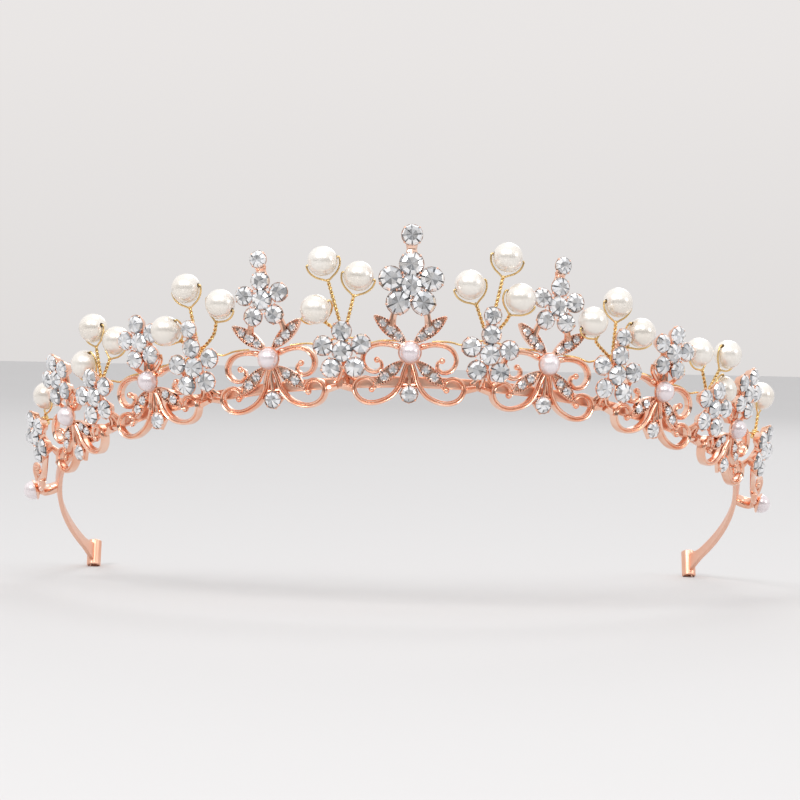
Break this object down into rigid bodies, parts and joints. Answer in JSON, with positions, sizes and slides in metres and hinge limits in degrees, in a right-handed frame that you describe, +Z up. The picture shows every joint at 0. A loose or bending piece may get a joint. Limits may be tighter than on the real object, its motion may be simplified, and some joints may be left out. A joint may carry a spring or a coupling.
{
  "type": "bridal tiara",
  "caption": "Open U-shaped bridal tiara: sprung rose gold strip with cast scroll and leaf motifs, stone flowers, half pearls and wired pearl sprays.",
  "frame": {"origin": "centre of the bounding box in plan, at the height that the rolled ends and lowest scrolls stand on", "axes": "+Z up, -Y towards the front of the tiara, +X to the viewer's right when seen from the front"},
  "size_m": [0.1618, 0.1276, 0.0331],
  "materials": {
    "rose_gold": "polished rose gold plate",
    "gold_wire": "bright yellow gold wire",
    "crystal": "clear foiled cut glass",
    "lilac_pearl": "lilac pearl lustre",
    "ivory_pearl": "ivory pearl lustre"
  },
  "bodies": {
    "tiara_frame": {"headband_strip": "rose_gold", "casting_left_3": "rose_gold", "flower_stones_left_3": "crystal", "half_pearl_left_3": "lilac_pearl", "casting_left_2": "rose_gold", "flower_stones_left_2": "crystal", "half_pearl_left_2": "lilac_pearl", "casting_left_1": "rose_gold", "flower_stones_left_1": "crystal", "half_pearl_left_1": "lilac_pearl", "casting_centre": "rose_gold", "flower_stones_centre": "crystal", "half_pearl_centre": "lilac_pearl", "casting_right_1": "rose_gold", "flower_stones_right_1": "crystal", "half_pearl_right_1": "lilac_pearl", "casting_right_2": "rose_gold", "flower_stones_right_2": "crystal", "half_pearl_right_2": "lilac_pearl", "casting_right_3": "rose_gold", "flower_stones_right_3": "crystal", "half_pearl_right_3": "lilac_pearl", "small_flower_stones_left_4": "crystal", "spray_wire_left_4": "gold_wire", "small_flower_stones_left_3": "crystal", "spray_wire_left_3": "gold_wire", "small_flower_stones_left_2": "crystal", "spray_wire_left_2": "gold_wire", "small_flower_stones_left_1": "crystal", "spray_wire_left_1": "gold_wire", "small_flower_stones_right_1": "crystal", "spray_wire_right_1": "gold_wire", "small_flower_stones_right_2": "crystal", "spray_wire_right_2": "gold_wire", "small_flower_stones_right_3": "crystal", "spray_wire_right_3": "gold_wire", "small_flower_stones_right_4": "crystal", "spray_wire_right_4": "gold_wire", "end_pearl_left": "lilac_pearl", "end_pearl_right": "lilac_pearl"},
    "bead_left_4_a_body": {"bead_left_4_a": "ivory_pearl"},
    "bead_left_3_a_body": {"bead_left_3_a": "ivory_pearl"},
    "bead_left_3_b_body": {"bead_left_3_b": "ivory_pearl"},
    "bead_left_3_c_body": {"bead_left_3_c": "ivory_pearl"},
    "bead_left_2_a_body": {"bead_left_2_a": "ivory_pearl"},
    "bead_left_2_b_body": {"bead_left_2_b": "ivory_pearl"},
    "bead_left_2_c_body": {"bead_left_2_c": "ivory_pearl"},
    "bead_left_1_a_body": {"bead_left_1_a": "ivory_pearl"},
    "bead_left_1_b_body": {"bead_left_1_b": "ivory_pearl"},
    "bead_left_1_c_body": {"bead_left_1_c": "ivory_pearl"},
    "bead_right_1_a_body": {"bead_right_1_a": "ivory_pearl"},
    "bead_right_1_b_body": {"bead_right_1_b": "ivory_pearl"},
    "bead_right_1_c_body": {"bead_right_1_c": "ivory_pearl"},
    "bead_right_2_a_body": {"bead_right_2_a": "ivory_pearl"},
    "bead_right_2_b_body": {"bead_right_2_b": "ivory_pearl"},
    "bead_right_2_c_body": {"bead_right_2_c": "ivory_pearl"},
    "bead_right_3_a_body": {"bead_right_3_a": "ivory_pearl"},
    "bead_right_3_b_body": {"bead_right_3_b": "ivory_pearl"},
    "bead_right_3_c_body": {"bead_right_3_c": "ivory_pearl"},
    "bead_right_4_a_body": {"bead_right_4_a": "ivory_pearl"}
  },
  "joints": [
    {"name": "bead_left_4_a_turn", "type": "hinge", "parent": "tiara_frame", "child": "bead_left_4_a_body", "pos_m": [-0.07475, -0.00477, 0.01715], "axis": [0.4413, -0.707, -0.5527], "continuous": true},
    {"name": "bead_left_3_a_turn", "type": "hinge", "parent": "tiara_frame", "child": "bead_left_3_a_body", "pos_m": [-0.06347, -0.02867, 0.02318], "axis": [0.659, -0.7491, -0.0682], "continuous": true},
    {"name": "bead_left_3_b_turn", "type": "hinge", "parent": "tiara_frame", "child": "bead_left_3_b_body", "pos_m": [-0.0585, -0.02999, 0.02], "axis": [0.6746, -0.4966, -0.5462], "continuous": true},
    {"name": "bead_left_3_c_turn", "type": "hinge", "parent": "tiara_frame", "child": "bead_left_3_c_body", "pos_m": [-0.06512, -0.02431, 0.01692], "axis": [0.3436, -0.7393, 0.5791], "continuous": true},
    {"name": "bead_left_2_a_turn", "type": "hinge", "parent": "tiara_frame", "child": "bead_left_2_a_body", "pos_m": [-0.04387, -0.04731, 0.02453], "axis": [0.853, -0.5211, 0.0294], "continuous": true},
    {"name": "bead_left_2_b_turn", "type": "hinge", "parent": "tiara_frame", "child": "bead_left_2_b_body", "pos_m": [-0.03691, -0.05087, 0.01992], "axis": [0.8145, -0.2676, -0.5148], "continuous": true},
    {"name": "bead_left_2_c_turn", "type": "hinge", "parent": "tiara_frame", "child": "bead_left_2_c_body", "pos_m": [-0.04769, -0.04474, 0.01653], "axis": [0.6421, -0.5902, 0.4892], "continuous": true},
    {"name": "bead_left_1_a_turn", "type": "hinge", "parent": "tiara_frame", "child": "bead_left_1_a_body", "pos_m": [-0.01714, -0.05799, 0.02639], "axis": [0.9454, -0.2358, 0.225], "continuous": true},
    {"name": "bead_left_1_b_turn", "type": "hinge", "parent": "tiara_frame", "child": "bead_left_1_b_body", "pos_m": [-0.01013, -0.05849, 0.02321], "axis": [0.9616, -0.0564, -0.2686], "continuous": true},
    {"name": "bead_left_1_c_turn", "type": "hinge", "parent": "tiara_frame", "child": "bead_left_1_c_body", "pos_m": [-0.01836, -0.05739, 0.01653], "axis": [0.8194, -0.3102, 0.482], "continuous": true},
    {"name": "bead_right_1_a_turn", "type": "hinge", "parent": "tiara_frame", "child": "bead_right_1_a_body", "pos_m": [0.01868, -0.05818, 0.02789], "axis": [0.9595, 0.2391, -0.1489], "continuous": true},
    {"name": "bead_right_1_b_turn", "type": "hinge", "parent": "tiara_frame", "child": "bead_right_1_b_body", "pos_m": [0.01131, -0.05798, 0.02208], "axis": [0.9218, 0.0335, 0.3863], "continuous": true},
    {"name": "bead_right_1_c_turn", "type": "hinge", "parent": "tiara_frame", "child": "bead_right_1_c_body", "pos_m": [0.02118, -0.05738, 0.01971], "axis": [0.8668, 0.3107, -0.39], "continuous": true},
    {"name": "bead_right_2_a_turn", "type": "hinge", "parent": "tiara_frame", "child": "bead_right_2_a_body", "pos_m": [0.04107, -0.04831, 0.02302], "axis": [0.8801, 0.4602, 0.1166], "continuous": true},
    {"name": "bead_right_2_b_turn", "type": "hinge", "parent": "tiara_frame", "child": "bead_right_2_b_body", "pos_m": [0.03584, -0.05045, 0.01798], "axis": [0.7926, 0.2193, 0.569], "continuous": true},
    {"name": "bead_right_2_c_turn", "type": "hinge", "parent": "tiara_frame", "child": "bead_right_2_c_body", "pos_m": [0.04591, -0.0447, 0.01817], "axis": [0.7022, 0.5799, -0.413], "continuous": true},
    {"name": "bead_right_3_a_turn", "type": "hinge", "parent": "tiara_frame", "child": "bead_right_3_a_body", "pos_m": [0.05921, -0.03163, 0.01942], "axis": [0.6614, 0.4506, 0.5995], "continuous": true},
    {"name": "bead_right_3_b_turn", "type": "hinge", "parent": "tiara_frame", "child": "bead_right_3_b_body", "pos_m": [0.06611, -0.0254, 0.0215], "axis": [0.5141, 0.7959, -0.3196], "continuous": true},
    {"name": "bead_right_3_c_turn", "type": "hinge", "parent": "tiara_frame", "child": "bead_right_3_c_body", "pos_m": [0.06543, -0.02145, 0.01517], "axis": [-0.0053, 0.4886, -0.8725], "continuous": true},
    {"name": "bead_right_4_a_turn", "type": "hinge", "parent": "tiara_frame", "child": "bead_right_4_a_body", "pos_m": [0.07629, -0.00401, 0.02053], "axis": [0.3788, 0.897, 0.2279], "continuous": true}
  ]
}
